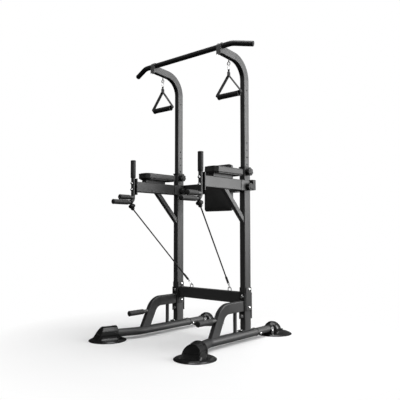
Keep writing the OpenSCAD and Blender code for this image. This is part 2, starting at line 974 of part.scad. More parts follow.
rope_low = [eye_x, 0, beam_z + beam_h / 2 + eye_leg + eye_r];
loop_y = dip_y - dip_bend * (1 - cos(loop_angle));
loop_z = dip_low_z + dip_bend * (1 - sin(loop_angle));
rope_high = [
    half,
    loop_y + loop_drop * cos(loop_angle),
    loop_z - loop_drop * sin(loop_angle)
];
rope_vec = rope_high - rope_low;
rope_len = norm(rope_vec);

// Frame with its origin at the beam eye and +Z along the rope.
module along_rope() {
    translate(rope_low)
        rotate([0, 0, atan2(rope_vec.y, rope_vec.x)])
            rotate([0, acos(rope_vec.z / rope_len), 0]) children();
}

module rope_links() {
    color(chrome) on_both() along_rope()
        translate([0, 0, link_len + link_r]) open_link(link_r, link_len, link_wire);
}

module rope_gate(s) {
    color(chrome) on_side(s) along_rope()
        translate([0, 0, link_len + link_r]) link_gate(link_r, link_len, link_wire);
}

function rope_eye_z() = link_len + link_r - link_wire + 4.6;

module ropes() {
    start = rope_eye_z() + 6;
    color(rubber) on_both() {
        along_rope() {
            translate([0, 0, rope_eye_z()]) rotate([0, 90, 0])
                rotate_extrude($fn = 64) translate([6.5, 0]) circle(1.5, $fn = 24);
            translate([0, 0, start + 0.4]) rod(52, rope_sleeve_r);
            translate([0, 0, start + 52.4]) rod(rope_len - start - 54.4, rope_r);
        }
        hand_loop();
    }
}

// Webbing loop round the elbow of the lower dip bar, square to the elbow where it sits.
module hand_loop() {
    inner = dip_r + 0.9;
    outer = inner + 1.5;
    width = 10;
    translate([half, loop_y, loop_z]) rotate([90 - loop_angle, 0, 0])
        translate([0, width / 2, 0]) rotate([90, 0, 0])
            linear_extrude(width) difference() {
                union() {
                    circle(outer, $fn = 60);
                    polygon([[-outer, 0], [outer, 0], [5, -loop_drop], [-5, -loop_drop]]);
                }
                circle(inner, $fn = 60);
                polygon([
                    [-inner, 0], [inner, 0], [1.2, 10 - loop_drop], [-1.2, 10 - loop_drop]
                ]);
            }
}

centred() base_rails();
centred() rail_extensions();
centred() extension_bolts();
centred() rail_end_rings();
centred() shoes_front();
centred() shoes_rear();
centred() suction_feet();
centred() arches();
centred() arch_posts();
centred() pushup_bars();
centred() pushup_grips();
centred() foot_plates();
centred() foot_bolts();
centred() lower_upright(-1);  // lower_upright_left
centred() lower_upright(1);  // lower_upright_right
centred() upright_collars();
centred() arch_flanges();
centred() flange_bolts();
centred() cross_beam();
centred() beam_plates();
centred() beam_bolts();
centred() beam_eyes();
centred() dip_arms();
centred() arm_braces();
centred() arm_end_plates();
centred() dip_bars();
centred() dip_bar_bolts();
centred() forearm_grips();
centred() dip_grips();
centred() arm_pads();
centred() arm_pad_plates();
centred() back_yoke();
centred() yoke_caps();
centred() yoke_bolts();
centred() backrest_pad();
centred() backrest_board();
centred() upper_tube(-1);  // upper_tube_left
centred() upper_tube(1);  // upper_tube_right
centred() tube_guides();
centred() pull_up_bar();
centred() bar_end_caps();
centred() bar_saddles();
centred() bar_screws();
centred() bar_eyes();
centred() knob(-1, pin_z);  // knob_upper_left
centred() knob(1, pin_z);  // knob_upper_right
centred() knob(-1, lower_pin_z);  // knob_lower_left
centred() knob(1, lower_pin_z);  // knob_lower_right
centred() carabiner(-1);  // carabiner_left
centred() carabiner(1);  // carabiner_right
centred() gate(-1);  // gate_left
centred() gate(1);  // gate_right
centred() handle_strap(-1);  // handle_strap_left
centred() handle_strap(1);  // handle_strap_right
centred() handle_grip(-1);  // handle_grip_left
centred() handle_grip(1);  // handle_grip_right
centred() rope_links();
centred() rope_gate(-1);  // rope_gate_left
centred() rope_gate(1);  // rope_gate_right
centred() ropes();
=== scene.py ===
"""Power tower: materials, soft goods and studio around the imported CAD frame. Metres, +Z up."""
import json
import math
from collections import namedtuple

import bmesh
import bpy
from mathutils import Euler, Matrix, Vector
from mathutils.bvhtree import BVHTree


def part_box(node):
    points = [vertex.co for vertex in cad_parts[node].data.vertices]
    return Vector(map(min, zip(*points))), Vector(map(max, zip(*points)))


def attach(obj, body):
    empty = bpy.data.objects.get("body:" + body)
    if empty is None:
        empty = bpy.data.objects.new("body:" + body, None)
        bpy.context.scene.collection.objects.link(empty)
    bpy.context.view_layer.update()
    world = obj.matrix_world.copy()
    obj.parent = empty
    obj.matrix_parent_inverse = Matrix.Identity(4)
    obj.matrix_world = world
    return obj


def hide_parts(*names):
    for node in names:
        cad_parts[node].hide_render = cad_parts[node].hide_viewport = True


MM = 0.001
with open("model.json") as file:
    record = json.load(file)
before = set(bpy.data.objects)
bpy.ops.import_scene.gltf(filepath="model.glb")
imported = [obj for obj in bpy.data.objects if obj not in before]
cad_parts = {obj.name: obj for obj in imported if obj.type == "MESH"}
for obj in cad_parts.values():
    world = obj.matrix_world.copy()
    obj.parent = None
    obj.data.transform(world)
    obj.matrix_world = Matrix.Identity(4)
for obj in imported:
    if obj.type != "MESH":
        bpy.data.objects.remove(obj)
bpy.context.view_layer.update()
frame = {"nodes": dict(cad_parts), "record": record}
NODES = frame["nodes"]
SIDES = {"left": -1, "right": 1}

# Each base rail runs straight forwards from the uprights, bends outwards and runs on to its foot.
RAIL_STRAIGHT = 330 * MM
RAIL_BEND_R = 120 * MM
RAIL_END = 178 * MM
SPLAY = math.radians(21.77)
REAR_FOOT_Y = 306 * MM
FRONT_FOOT_Y = -RAIL_STRAIGHT - RAIL_BEND_R * math.sin(SPLAY) - RAIL_END * math.cos(SPLAY)
FRONT_FOOT_OUT = RAIL_BEND_R * (1 - math.cos(SPLAY)) + RAIL_END * math.sin(SPLAY)

# Pieces are built with y = 0 between the uprights, like the CAD part's own sub-parts, and then
# set back over the feet.
SET_BACK = -(REAR_FOOT_Y + FRONT_FOOT_Y) / 2


Corner = namedtuple("Corner", "x y z")


def node_box(node):
    """A node's low and high corners at rest, from the uprights, to a tenth of a millimetre."""
    return [
        Corner(round(corner[0], 4), round(corner[1] - SET_BACK, 4), round(corner[2], 4))
        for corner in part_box(node)
    ]


def middle(low, high):
    return (low + high) / 2


TUBE_LOW, TUBE_HIGH = node_box("upper_tube_right")
PAD_LOW, PAD_HIGH = node_box("arm_pads")
BACK_LOW, BACK_HIGH = node_box("backrest_pad")
DIP_LOW, DIP_HIGH = node_box("dip_bars")
BAR_LOW, BAR_HIGH = node_box("pull_up_bar")
GRIP_LOW, GRIP_HIGH = node_box("handle_grip_right")

HALF = middle(TUBE_LOW.x, TUBE_HIGH.x)
BAR_R = 16 * MM
BAR = Vector((0, BAR_LOW.y + BAR_R, BAR_HIGH.z - BAR_R))
DIP_R = 12.5 * MM
DIP_Y = DIP_HIGH.y - DIP_R
DIP_LOW_Z = DIP_LOW.z + DIP_R
DIP_HIGH_Z = DIP_LOW_Z + 31 * MM


# ---------------------------------------------------------------- node helpers

def new_material(name):
    mat = bpy.data.materials.new(name)
    mat.use_nodes = True
    tree = mat.node_tree
    return mat, tree, tree.nodes["Principled BSDF"]


def add(tree, kind, inputs=None, **props):
    node = tree.nodes.new(kind)
    for key, value in props.items():
        setattr(node, key, value)
    for key, value in (inputs or {}).items():
        if isinstance(value, bpy.types.NodeSocket):
            tree.links.new(value, node.inputs[key])
        else:
            node.inputs[key].default_value = value
    return node


def rgb(grey, tint=(1.0, 1.0, 1.0)):
    return (grey * tint[0], grey * tint[1], grey * tint[2], 1.0)


def coordinates(tree):
    return add(tree, "ShaderNodeTexCoord").outputs["Object"]


def ramp_between(tree, factor, low, high):
    """Colour that goes from low to high as factor goes from 0 to 1; low may be a socket."""
    node = add(tree, "ShaderNodeMix", {"Factor": factor}, data_type="RGBA")
    colours = [socket for socket in node.inputs if socket.type == "RGBA"]
    for socket, value in zip(colours, (low, high)):
        if isinstance(value, bpy.types.NodeSocket):
            tree.links.new(value, socket)
        else:
            socket.default_value = value
    return [socket for socket in node.outputs if socket.type == "RGBA"][0]


def spread(tree, factor, low, high):
    return add(
        tree, "ShaderNodeMapRange", {"Value": factor, "To Min": low, "To Max": high}
    ).outputs["Result"]


def noise(tree, where, scale, detail=2.0, roughness=0.5):
    return add(
        tree,
        "ShaderNodeTexNoise",
        {"Vector": where, "Scale": scale, "Detail": detail, "Roughness": roughness},
    ).outputs["Fac"]


def bump(tree, height, strength, distance, normal=None):
    inputs = {"Height": height, "Strength": strength, "Distance": distance}
    if normal is not None:
        inputs["Normal"] = normal
    return add(tree, "ShaderNodeBump", inputs).outputs["Normal"]


def soft_edge(tree, radius):
    return add(tree, "ShaderNodeBevel", {"Radius": radius}, samples=4).outputs["Normal"]


# ---------------------------------------------------------------- materials
# Noise and grain scales are in cycles a metre; greys are linear reflectances.

def painted_steel(name, grey, rough, grain=0.12):
    """Powder coat: orange peel, faint clouds, painted highlight on convex edges, painted shade in
    crevices.
    """
    mat, tree, shader = new_material(name)
    where = coordinates(tree)
    cloud = noise(tree, where, 9.0, 4.0)
    peel = noise(tree, where, 1400.0, 2.0)
    edge = add(tree, "ShaderNodeNewGeometry").outputs["Pointiness"]
    # Painted highlight: convex edges, found by pointiness, are painted lighter.
    edge_highlight = add(tree, "ShaderNodeMapRange",
               {"Value": edge, "From Min": 0.53, "From Max": 0.62}).outputs["Result"]
    base = ramp_between(tree, cloud, rgb(grey * 0.85), rgb(grey * 1.2, (1.0, 1.01, 1.03)))
    highlighted_base = ramp_between(tree, edge_highlight, base, rgb(grey * 2.4))
    # Painted shade: where ambient occlusion finds nearby surfaces, in crevices and inside tubes,
    # colour and specular are darkened.
    open_to_light = add(tree, "ShaderNodeAmbientOcclusion", {"Distance": 22 * MM}, samples=6)
    shade = add(tree, "ShaderNodeMapRange",
                {"Value": open_to_light.outputs["AO"], "From Min": 0.2, "From Max": 0.75}
                ).outputs["Result"]
    painted_crevice_shade = rgb(grey * 0.12)
    tree.links.new(ramp_between(tree, shade, painted_crevice_shade, highlighted_base),
                   shader.inputs["Base Color"])
    tree.links.new(spread(tree, shade, 0.04, 0.5), shader.inputs["Specular IOR Level"])
    tree.links.new(spread(tree, cloud, rough - 0.05, rough + 0.06), shader.inputs["Roughness"])
    tree.links.new(bump(tree, peel, grain, 0.2 * MM, soft_edge(tree, 1.2 * MM)),
                   shader.inputs["Normal"])
    return mat


def bright_metal(name, grey, rough):
    mat, tree, shader = new_material(name)
    where = coordinates(tree)
    smear = noise(tree, where, 160.0, 3.0)
    shader.inputs["Metallic"].default_value = 1.0
    tree.links.new(ramp_between(tree, smear, rgb(grey * 0.9), rgb(grey)),
                   shader.inputs["Base Color"])
    tree.links.new(spread(tree, smear, rough * 0.7, rough * 1.5), shader.inputs["Roughness"])
    tree.links.new(bump(tree, noise(tree, where, 900.0), 0.05, 0.1 * MM, soft_edge(tree, 0.6 * MM)),
                   shader.inputs["Normal"])
    return mat


def moulded(name, grey, rough, grain_scale, grain, radius=1.5):
    """Moulded rubber or plastic with a fine skin texture and slight dusting."""
    mat, tree, shader = new_material(name)
    where = coordinates(tree)
    skin = noise(tree, where, grain_scale, 3.0, 0.6)
    dust = noise(tree, where, 22.0, 5.0, 0.6)
    tree.links.new(ramp_between(tree, dust, rgb(grey * 0.8), rgb(grey * 1.35)),
                   shader.inputs["Base Color"])
    tree.links.new(spread(tree, dust, rough - 0.07, rough + 0.08), shader.inputs["Roughness"])
    tree.links.new(bump(tree, skin, grain, 0.4 * MM, soft_edge(tree, radius * MM)),
                   shader.inputs["Normal"])
    return mat


def foam(name, grey):
    """Closed-cell foam sleeve: matt, finely pitted."""
    mat, tree, shader = new_material(name)
    where = coordinates(tree)
    pits = add(tree, "ShaderNodeTexVoronoi", {"Vector": where, "Scale": 700.0}).outputs["Distance"]
    cloud = noise(tree, where, 60.0, 3.0)
    tree.links.new(ramp_between(tree, cloud, rgb(grey * 0.75), rgb(grey * 1.3)),
                   shader.inputs["Base Color"])
    tree.links.new(spread(tree, cloud, 0.55, 0.7), shader.inputs["Roughness"])
    tree.links.new(bump(tree, pits, 0.35, 0.6 * MM), shader.inputs["Normal"])
    return mat


def leatherette(name, grey):
    """Synthetic leather: pebble grain, soft sheen, slightly uneven gloss."""
    mat, tree, shader = new_material(name)
    where = coordinates(tree)
    pebble = add(tree, "ShaderNodeTexVoronoi", {"Vector": where, "Scale": 480.0},
                 feature="SMOOTH_F1").outputs["Distance"]
    fine = noise(tree, where, 1500.0, 2.0)
    height = add(tree, "ShaderNodeMath", {0: pebble, 1: fine}, operation="ADD").outputs[0]
    cloud = noise(tree, where, 14.0, 4.0)
    tree.links.new(ramp_between(tree, cloud, rgb(grey * 0.85), rgb(grey * 1.15)),
                   shader.inputs["Base Color"])
    tree.links.new(spread(tree, cloud, 0.40, 0.52), shader.inputs["Roughness"])
    tree.links.new(bump(tree, height, 0.3, 0.5 * MM), shader.inputs["Normal"])
    shader.inputs["Sheen Weight"].default_value = 0.08
    shader.inputs["Sheen Roughness"].default_value = 0.5
    return mat


def woven(name, grey, pitch):
    """Woven webbing: crossed ribs at the given pitch, painted darker in their grooves and lighter
    on their crests.
    """
    mat, tree, shader = new_material(name)
    where = coordinates(tree)
    ribs = [
        add(tree, "ShaderNodeTexWave",
            {"Vector": where, "Scale": 1.0 / pitch, "Distortion": 0.6},
            bands_direction=direction).outputs["Fac"]
        for direction in ("X", "Z")
    ]
    height = add(tree, "ShaderNodeMath", {0: ribs[0], 1: ribs[1]}, operation="MULTIPLY").outputs[0]
    # Painted shade and highlight: the colour follows the ribs' height, darker in the grooves and
    # lighter on the crests.
    tree.links.new(ramp_between(tree, height, rgb(grey * 0.6), rgb(grey * 1.6)),
                   shader.inputs["Base Color"])
    shader.inputs["Roughness"].default_value = 0.75
    shader.inputs["Sheen Weight"].default_value = 0.05
    tree.links.new(bump(tree, height, 0.6, 0.5 * MM), shader.inputs["Normal"])
    return mat


def board_wood(name):
    mat, tree, shader = new_material(name)
    where = coordinates(tree)
    stretched = add(tree, "ShaderNodeMapping", {"Vector": where, "Scale": (1.0, 1.0, 12.0)})
    grain = noise(tree, stretched.outputs["Vector"], 40.0, 5.0)
    brown = (1.2, 1.0, 0.85)
    tree.links.new(ramp_between(tree, grain, rgb(0.018, brown), rgb(0.045, brown)),
                   shader.inputs["Base Color"])
    shader.inputs["Roughness"].default_value = 0.7
    tree.links.new(bump(tree, grain, 0.3, 0.4 * MM, soft_edge(tree, 1.0 * MM)),
                   shader.inputs["Normal"])
    return mat


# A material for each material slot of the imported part.
LOOKS = {
    "powder_coat": painted_steel("powder_coat_satin", 0.030, 0.40),
    "plate_coat": painted_steel("powder_coat_plate", 0.016, 0.45),
    "saddle_coat": painted_steel("powder_coat_grey", 0.07, 0.45),
    "bolt_chrome": bright_metal("bolt_bright", 0.9, 0.16),
    "hook_steel": bright_metal("wire_bright", 0.8, 0.22),
    "foot_rubber": moulded("rubber_glossy", 0.007, 0.15, 500.0, 0.03, 2.5),
    "grip_foam": foam("foam_sleeve", 0.032),
    "moulded_black": moulded("plastic_grained", 0.012, 0.52, 900.0, 0.2),
    "vinyl": leatherette("leatherette_black", 0.044),
    "board": board_wood("board_painted"),
    "webbing": woven("webbing_black", 0.013, 2.2 * MM),
}
THREAD = moulded("thread_dark", 0.05, 0.6, 2000.0, 0.1, 0.1)


def paint(obj, slot_name, look=None):
    material = look or LOOKS[slot_name]
    if not obj.material_slots:
        obj.data.materials.append(material)
    for slot in obj.material_slots:
        slot.material = material


for part in frame["record"]["subparts"]:
    paint(NODES[part["node"]], part["material_slot"])


# ---------------------------------------------------------------- mesh helpers

def place(name, data, slot_name, body, look=None):
    obj = bpy.data.objects.new(name, data)
    bpy.context.scene.collection.objects.link(obj)
    obj.location.y = SET_BACK
    paint(obj, slot_name, look)
    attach(obj, body)
    return obj


def mesh_piece(name, points, faces, slot_name, body, sharp=38.0, look=None):
    data = bpy.data.meshes.new(name)
    data.from_pydata([tuple(p) for p in points], [], faces)
    work = bmesh.new()
    work.from_mesh(data)
    bmesh.ops.recalc_face_normals(work, faces=work.faces)
    work.to_mesh(data)
    work.free()
    data.polygons.foreach_set("use_smooth", [True] * len(data.polygons))
    data.set_sharp_from_angle(angle=math.radians(sharp))
    return place(name, data, slot_name, body, look)


def turns(count):
    """Angles that divide a full turn into equal steps."""
    return [2 * math.pi * k / count for k in range(count)]


def skin(rings, closed=False, start=0):
    """Faces between rings of equal size; the end rings are capped unless the chain closes."""
    count = len(rings[0])
    points = [p for ring in rings for p in ring]
    faces = []
    for i in range(len(rings) if closed else len(rings) - 1):
        a = start + i * count
        b = start + (i + 1) % len(rings) * count
        for k in range(count):
            n = (k + 1) % count
            faces.append((a + k, a + n, b + n, b + k))
    if not closed:
        faces.append(tuple(start + k for k in reversed(range(count))))
        faces.append(tuple(start + (len(rings) - 1) * count + k for k in range(count)))
    return points, faces


def revolve(name, origin, direction, profile, slot_name, body, segments=48, hollow=False):
    """Turned shape: profile is (distance along the axis, radius); a hollow one closes on itself."""
    axis = Vector(direction).normalized()
    side = axis.orthogonal().normalized()
    across = axis.cross(side)
    rings = []
    for along, radius in profile:
        rings.append([
            origin + axis * along + (side * math.cos(a) + across * math.sin(a)) * radius
            for a in turns(segments)
        ])
    points, faces = skin(rings, closed=hollow)
    return mesh_piece(name, points, faces, slot_name, body)


def sweep(name, path, outlines, slot_name, body, up, closed=False, sharp=38.0):
    """Carries an outline of (across, up) offsets along a path; outlines has one for each point."""
    rings = []
    last = len(path) - 1
    for i, at in enumerate(path):
        if closed:
            before, after = path[i - 1], path[(i + 1) % len(path)]
        else:
            before, after = path[max(i - 1, 0)], path[min(i + 1, last)]
        ahead = (after - before).normalized()
        across = ahead.cross(up).normalized()
        lift = across.cross(ahead)
        rings.append([at + across * u + lift * v for u, v in outlines[i]])
    points, faces = skin(rings, closed=closed)
    return mesh_piece(name, points, faces, slot_name, body, sharp)


def circle(radius, count=32):
    return [(radius * math.cos(a), radius * math.sin(a)) for a in turns(count)]


def band(width, thick, steps=3):
    """Outline of a webbing strap: two straight sides and half-round edges."""
    r = thick / 2
    points = []
    for sign in (1, -1):
        for k in range(steps * 2 + 1):
            a = sign * (-math.pi / 2 + math.pi * k / (steps * 2))
            points.append((math.sin(a) * r, sign * (width / 2 - r + math.cos(a) * r)))
    return points


NEARLY_STRAIGHT = 0.02


def filleted(corners, radius, steps=8, closed=False):
    """Polyline along the corners, with each corner rounded off by an arc."""
    path = []
    count = len(corners)
    for i, corner in enumerate(corners):
        if not closed and i in (0, count - 1):
            path.append(corner.copy())
            continue
        back = (corners[i - 1] - corner).normalized()
        ahead = (corners[(i + 1) % count] - corner).normalized()
        turn = math.pi - back.angle(ahead)
        if turn < NEARLY_STRAIGHT:
            path.append(corner.copy())
            continue
        reach = radius * math.tan(turn / 2)
        centre = corner + (back + ahead).normalized() * (radius / math.cos(turn / 2))
        first, last = corner + back * reach - centre, corner + ahead * reach - centre
        for k in range(steps + 1):
            share = turn * k / steps
            arm = first * math.sin(turn - share) + last * math.sin(share)
            path.append(centre + arm / math.sin(turn))
    return path


def wire(name, runs, radius, slot_name, body, cyclic=False, look=None):
    """Round wires, threads or beads along one or more polylines."""
    data = bpy.data.curves.new(name, "CURVE")
    data.dimensions = "3D"
    data.bevel_depth = radius
    data.bevel_resolution = 3
    data.use_fill_caps = True
    for run in runs:
        spline = data.splines.new("POLY")
        spline.points.add(len(run) - 1)
        for point, at in zip(spline.points, run):
            point.co = (at[0], at[1], at[2], 1.0)
        spline.use_cyclic_u = cyclic
        spline.use_smooth = True
    return place(name, data, slot_name, body, look)


def resample(path, step, closed=False):
    """Points every step along a polyline."""
    points = list(path) + ([path[0]] if closed else [])
    result, carry = [points[0].copy()], 0.0
    for a, b in zip(points, points[1:]):
        length = (b - a).length
        at = step - carry
        while at <= length:
            result.append(a.lerp(b, at / length))
            at += step
        carry = length - (at - step)
    return result


# ---------------------------------------------------------------- cushions

CLOTH_FRAMES = 20
CLOTH_PRESSURE = 4.0
CUSHION_VOXEL = 4.6 * MM
SEAM_REACH = 2.6 * MM
BASE_REACH = 4 * MM


def inflate(obj, pinned, cap):
    """Cloth simulation under inner pressure; pinned points hold, others move at most cap."""
    group = obj.vertex_groups.new(name="pinned")
    group.add([v.index for v in obj.data.vertices if pinned(v.co)], 1.0, "REPLACE")
    rest = [v.co.copy() for v in obj.data.vertices]
    modifier = obj.modifiers.new("inflate", "CLOTH")
    cloth = modifier.settings
    cloth.quality = 5
    cloth.vertex_group_mass = group.name
    cloth.use_pressure = True
    cloth.uniform_pressure_force = CLOTH_PRESSURE
    cloth.effector_weights.gravity = 0.0
    modifier.point_cache.frame_start = 1
    modifier.point_cache.frame_end = CLOTH_FRAMES
    scene = bpy.context.scene
    for number in range(1, CLOTH_FRAMES + 1):
        scene.frame_set(number)
    shown = obj.evaluated_get(bpy.context.evaluated_depsgraph_get()).data
    moved = [v.co.copy() for v in shown.vertices]
    obj.modifiers.remove(modifier)
    scene.frame_set(1)
    for vertex, before, after in zip(obj.data.vertices, rest, moved):
        step = after - before
        if step.length > cap:
            step *= cap / step.length
        vertex.co = before + step


def cushion(name, solids, slot_name, body, node, pinned, cap):
    """Padded piece: its starting solids are remeshed, blown up by cloth and smoothed."""
    points, faces = [], []
    for rings in solids:
        more, sides = skin(rings, start=len(points))
        points += more
        faces += sides
    obj = mesh_piece(name, points, faces, slot_name, body, sharp=180)
    obj.data.remesh_voxel_size = CUSHION_VOXEL
    bpy.context.view_layer.objects.active = obj
    obj.select_set(True)
    bpy.ops.object.voxel_remesh()
    obj.select_set(False)
    inflate(obj, pinned, cap)
    obj.data.polygons.foreach_set("use_smooth", [True] * len(obj.data.polygons))
    smooth = obj.modifiers.new("round", "SUBSURF")
    smooth.levels = 1
    smooth.render_levels = 1
    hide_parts(node)
    return obj


def surface_of(obj):
    return BVHTree.FromPolygons(
        [v.co for v in obj.data.vertices], [tuple(p.vertices) for p in obj.data.polygons]
    )


def on_surface(tree, point, lift):
    at, normal, _, _ = tree.find_nearest(point)
    return at + normal * lift


def stitches(name, tree, path, slot_name, body, pitch=6.0 * MM, length=3.8 * MM, closed=True):
    """Row of thread dashes laid on a cushion's surface, each a little raised in its middle."""
    fine = [on_surface(tree, p, 0.25 * MM) for p in resample(path, pitch / 2, closed)]
    runs = []
    for a, b in zip(fine[::2], fine[1::2]):
        ahead = (b - a).normalized() * length
        crest = a + ahead * 0.5 + Vector((0, 0, 0.1 * MM))
        runs.append([a, crest, a + ahead])
    return wire(name, runs, 0.42 * MM, slot_name, body, look=THREAD)


def cut_corner_outline(w, front, back, c):
    """Rectangle with cut corners in plan, run round once."""
    return [
        Vector(p) for p in (
            (-w, front + c), (-w + c, front), (w - c, front), (w, front + c),
            (w, back - c), (w - c, back), (-w + c, back), (-w, back - c),
        )
    ]


PAD = {"half_w": PAD_HIGH.x - HALF, "front": PAD_LOW.y, "back": PAD_HIGH.y, "cut": 20 * MM}
PAD_BASE = PAD_LOW.z
PAD_TOP = PAD_HIGH.z
PAD_RIM = 6 * MM
PAD_SHRINK = 1.5 * MM
PAD_SEAM_Z = PAD_TOP - 6.5 * MM


def pad_ring(side, z, inset):
    plan = cut_corner_outline(
        PAD["half_w"] - inset, PAD["front"] + inset, PAD["back"] - inset, PAD["cut"]
    )
    return [Vector((side * HALF + p.x, p.y, z)) for p in plan]


def arm_pads():
    """Two forearm pads: flat below, crowned above a welted edge, sides slightly full."""
    solids = [
        [
            pad_ring(s, PAD_BASE + 0.4 * MM, PAD_SHRINK),
            pad_ring(s, PAD_SEAM_Z, PAD_SHRINK),
            pad_ring(s, PAD_SEAM_Z + 4 * MM, PAD_SHRINK + 7 * MM),
        ]
        for s in SIDES.values()
    ]

    def near_rim(co):
        side = 1 if co.x > 0 else -1
        from_side = PAD["half_w"] - abs(co.x - side * HALF)
        from_end = min(co.y - PAD["front"], PAD["back"] - co.y)
        in_corner = from_end < PAD["cut"] + 2 * MM and from_side < PAD["cut"] + 4 * MM
        return from_side < PAD_RIM or from_end < PAD_RIM or in_corner

    def pinned(co):
        on_seam = abs(co.z - PAD_SEAM_Z) < SEAM_REACH and near_rim(co)
        return co.z < PAD_BASE + BASE_REACH or on_seam

    pads = cushion("arm_pad_covers", solids, "vinyl", "base_frame", "arm_pads", pinned, 7 * MM)
    tree = surface_of(pads)
    for label, s in SIDES.items():
        welt = filleted(pad_ring(s, PAD_SEAM_Z, PAD_SHRINK - 0.2 * MM), 6 * MM, 5, closed=True)
        welt = [on_surface(tree, p, 0.3 * MM) for p in resample(welt, 4 * MM, True)]
        wire(f"arm_pad_welt_{label}", [welt], 1.5 * MM, "vinyl", "base_frame", cyclic=True)
        row = filleted(pad_ring(s, PAD_TOP, PAD_SHRINK + 9 * MM), 8 * MM, 5, closed=True)
        stitches(f"arm_pad_stitches_{label}", tree, row, "vinyl", "base_frame")


BACK = {
    "half_w": BACK_HIGH.x,
    "half_h": (BACK_HIGH.z - BACK_LOW.z) / 2,
    "z": middle(BACK_LOW.z, BACK_HIGH.z),
    "front": BACK_LOW.y,
    "rear": BACK_HIGH.y,
    "rim": 7 * MM,
}


def back_ring(y, inset, corner=18 * MM):
    """Rounded outline of the backrest at a depth, run round once."""
    w = BACK["half_w"] - inset
    h = BACK["half_h"] - inset
    corners = [Vector((x, y, BACK["z"] + z)) for x, z in ((w, h), (-w, h), (-w, -h), (w, -h))]
    return filleted(corners, corner, 6, closed=True)


def backrest():
    """Backrest pad: flat on its board, crowned in front inside a welted, stitched edge."""
    seam_y = BACK["front"] + 7 * MM
    solids = [[
        back_ring(BACK["rear"] - 0.4 * MM, 2 * MM),
        back_ring(seam_y, 2 * MM),
        back_ring(seam_y - 4 * MM, 9 * MM, 13 * MM),
    ]]

    def pinned(co):
        from_side = BACK["half_w"] - abs(co.x)
        from_end = BACK["half_h"] - abs(co.z - BACK["z"])
        on_seam = abs(co.y - seam_y) < SEAM_REACH and min(from_side, from_end) < BACK["rim"]
        return co.y > BACK["rear"] - BASE_REACH or on_seam

    pad = cushion("backrest_cover", solids, "vinyl", "base_frame", "backrest_pad", pinned, 8 * MM)
    tree = surface_of(pad)
    edge = resample(back_ring(seam_y, 1.8 * MM), 5 * MM, True)
    welt = [on_surface(tree, p, 0.3 * MM) for p in edge]
    wire("backrest_welt", [welt], 1.6 * MM, "vinyl", "base_frame", cyclic=True)
    stitches("backrest_stitches", tree, back_ring(BACK["front"], 11 * MM, 12 * MM),
             "vinyl", "base_frame")


# ---------------------------------------------------------------- grips and bars

def sleeve_profile(length, radius, bore):
    """Foam sleeve with a domed closed end and a rolled open end."""
    lip = 3 * MM
    dome = [(0.0, radius * 0.3), (0.25 * lip, radius * 0.72), (0.7 * lip, radius * 0.93),
            (1.4 * lip, radius + 0.9 * MM), (2.0 * lip, radius + 0.9 * MM),
            (2.3 * lip, radius + 0.1 * MM), (2.6 * lip, radius)]
    middle = [(length * t, radius + 0.25 * MM * math.sin(math.pi * t)) for t in (0.3, 0.5, 0.7)]
    end = [(length - 2.2 * MM, radius), (length - 0.8 * MM, radius - 0.6 * MM),
           (length, radius - 1.8 * MM), (length, bore + 0.05 * MM)]
    return dome + middle + end


FORWARD_TO_BACK = (0, 1, 0)
TOP_TO_BOTTOM = (0, 0, -1)
FOREARM_TIP_Z = node_box("forearm_grips")[1].z
DIP_TIP_Y = node_box("dip_grips")[0].y
PUSHUP_LOW, PUSHUP_HIGH = node_box("pushup_grips")
PUSHUP_Z = middle(PUSHUP_LOW.z, PUSHUP_HIGH.z)
PUSHUP_LENGTH = PUSHUP_HIGH.y - PUSHUP_LOW.y
DIP_BORE = DIP_R + 0.05 * MM
PUSHUP_BORE = 11.05 * MM
# Each foam grip: its node, its tip's y and z, the way it runs, its length, radius and bore.
FOAM_GRIPS = {
    "forearm_grip_foam":
        ("forearm_grips", DIP_Y, FOREARM_TIP_Z, TOP_TO_BOTTOM, 112 * MM, 16 * MM, DIP_BORE),
    "dip_grip_low_foam":
        ("dip_grips", DIP_TIP_Y, DIP_LOW_Z, FORWARD_TO_BACK, 120 * MM, 15 * MM, DIP_BORE),
    "dip_grip_high_foam":
        ("dip_grips", DIP_TIP_Y + 51 * MM, DIP_HIGH_Z, FORWARD_TO_BACK, 82 * MM, 15 * MM, DIP_BORE),
    "pushup_grip_foam":
        ("pushup_grips", PUSHUP_LOW.y, PUSHUP_Z, FORWARD_TO_BACK, PUSHUP_LENGTH, 16 * MM,
         PUSHUP_BORE),
}


def foam_grips():
    for label, side in SIDES.items():
        for name, (node, y, z, direction, length, radius, bore) in FOAM_GRIPS.items():
            piece = revolve(f"{name}_{label}", Vector((side * HALF, y, z)), direction,
                            sleeve_profile(length, radius, bore), "grip_foam", "base_frame")
            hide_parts(node)


BAR_STRAIGHT = 365 * MM
BAR_TIP = 127 * MM
BAR_BEND_R = 110 * MM
BAR_SWEEP = math.radians(21)
BAR_TILT = math.radians(-28)


def pull_up_bar():
    """The bar as one bent tube, whose tips sweep back and down."""
    corners = []
    for s in (-1, 1):
        out = Vector((s * math.cos(BAR_SWEEP), math.sin(BAR_SWEEP) * math.cos(BAR_TILT),
                      math.sin(BAR_SWEEP) * math.sin(BAR_TILT)))
        bend = BAR + Vector((s * BAR_STRAIGHT, 0, 0))
        corners += [bend + out * BAR_TIP, bend][::-s]
    path = filleted(corners, BAR_BEND_R, 12)
    piece = sweep("pull_up_bar_tube", path, [circle(BAR_R, 40)] * len(path),
                  "powder_coat", "upper_frame", Vector((0, 0, 1)))
    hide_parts("pull_up_bar")


# ---------------------------------------------------------------- rubber shoes

SHOE_BASE = 12 * MM


def shoe_section(half_w, top, count=18):
    """Arch outline of (across, height), closed along its base."""
    straight = max(0.0, top - SHOE_BASE - half_w)
    spring = SHOE_BASE + straight
    arch = []
    for k in range(count + 1):
        a = math.pi * k / count
        arch.append((half_w * math.cos(a), spring + (top - spring) * math.sin(a)))
    base = [(across * half_w, SHOE_BASE) for across in (-1, -0.5, 0.5)]
    return [(half_w, SHOE_BASE)] + arch + base


